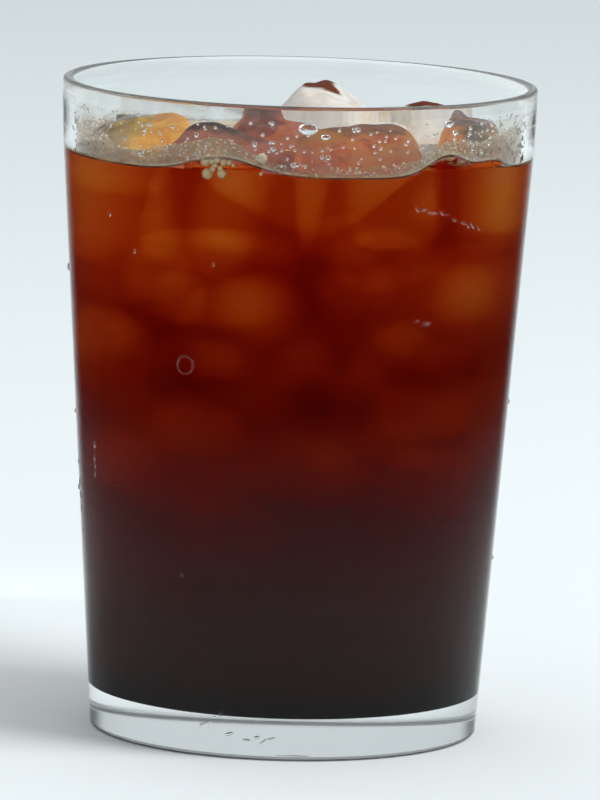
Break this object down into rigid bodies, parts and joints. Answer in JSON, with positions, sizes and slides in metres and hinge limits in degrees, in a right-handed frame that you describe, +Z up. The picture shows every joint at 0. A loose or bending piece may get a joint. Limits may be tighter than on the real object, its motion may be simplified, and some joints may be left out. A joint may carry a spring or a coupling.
{
  "type": "iced americano",
  "caption": "Black iced coffee served in a clear tapered tumbler with a thick base, full of rounded ice that stands out of the drink, with a ring of pale foam along the wall.",
  "frame": {"origin": "centre of the flat ring that the glass stands on", "axes": "+Z up along the glass's axis, -Y towards the viewer, +X to the viewer's right"},
  "size_m": [0.087, 0.087, 0.12],
  "materials": {
    "clear_glass": "clear, polished, slightly wet outside",
    "coffee": "clear dark red-brown liquid, orange where it is thin",
    "ice": "melting clear ice, wet, tinted by the drink",
    "foam": "fine beige coffee foam with small bubbles"
  },
  "bodies": {
    "root": {"glass": "clear_glass", "coffee": "coffee", "foam": "foam", "ice_back": "ice", "ice_back_right": "ice", "ice_left": "ice", "ice_front_left": "ice", "ice_middle": "ice", "ice_front": "ice", "ice_clear": "ice", "ice_right": "ice"}
  },
  "joints": []
}
